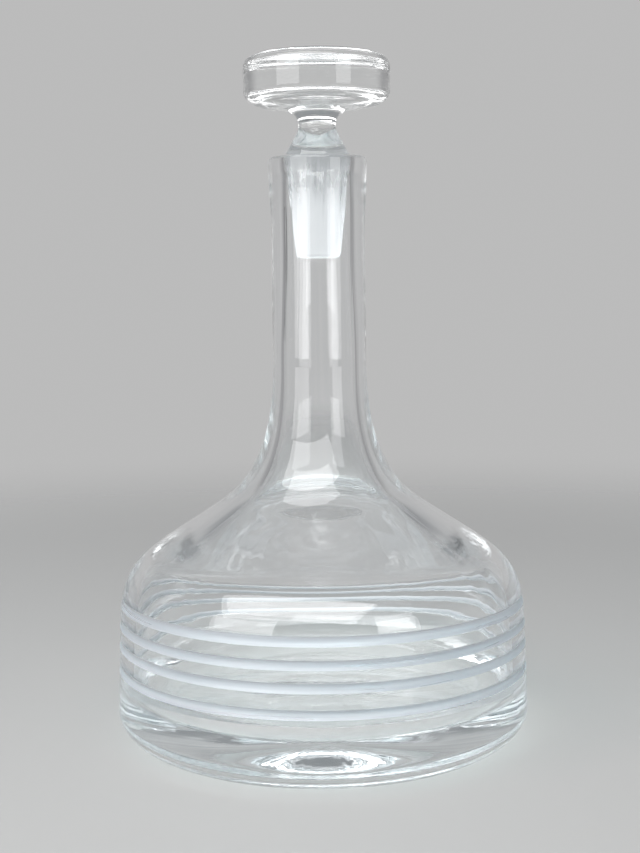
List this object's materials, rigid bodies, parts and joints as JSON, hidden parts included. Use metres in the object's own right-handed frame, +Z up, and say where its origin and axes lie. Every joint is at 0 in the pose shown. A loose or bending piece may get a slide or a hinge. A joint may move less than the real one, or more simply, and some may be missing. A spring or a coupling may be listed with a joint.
{
  "type": "decanter",
  "caption": "Clear glass decanter with a heavy base, a wide low body with matt-cut grooves, a long neck and a solid glass stopper with a thick round knob that lifts out.",
  "frame": {"origin": "middle of the foot, level with the table", "axes": "+Z up along the axis that the bottle and stopper are turned about; the shape is the same all round, so +X and +Y are free choices"},
  "size_m": [0.155, 0.155, 0.2536],
  "materials": {
    "bottle_glass": "clear and fire-polished, with matt-cut grooves round the body",
    "stopper_glass": "clear and polished, with a ground matt plug"
  },
  "bodies": {
    "bottle": {"bottle": "bottle_glass"},
    "stopper": {"stopper": "stopper_glass"}
  },
  "joints": [
    {"name": "stopper_lift", "type": "slide", "parent": "bottle", "child": "stopper", "axis": [0, 0, 1], "range_m": [0, 0.06]}
  ]
}
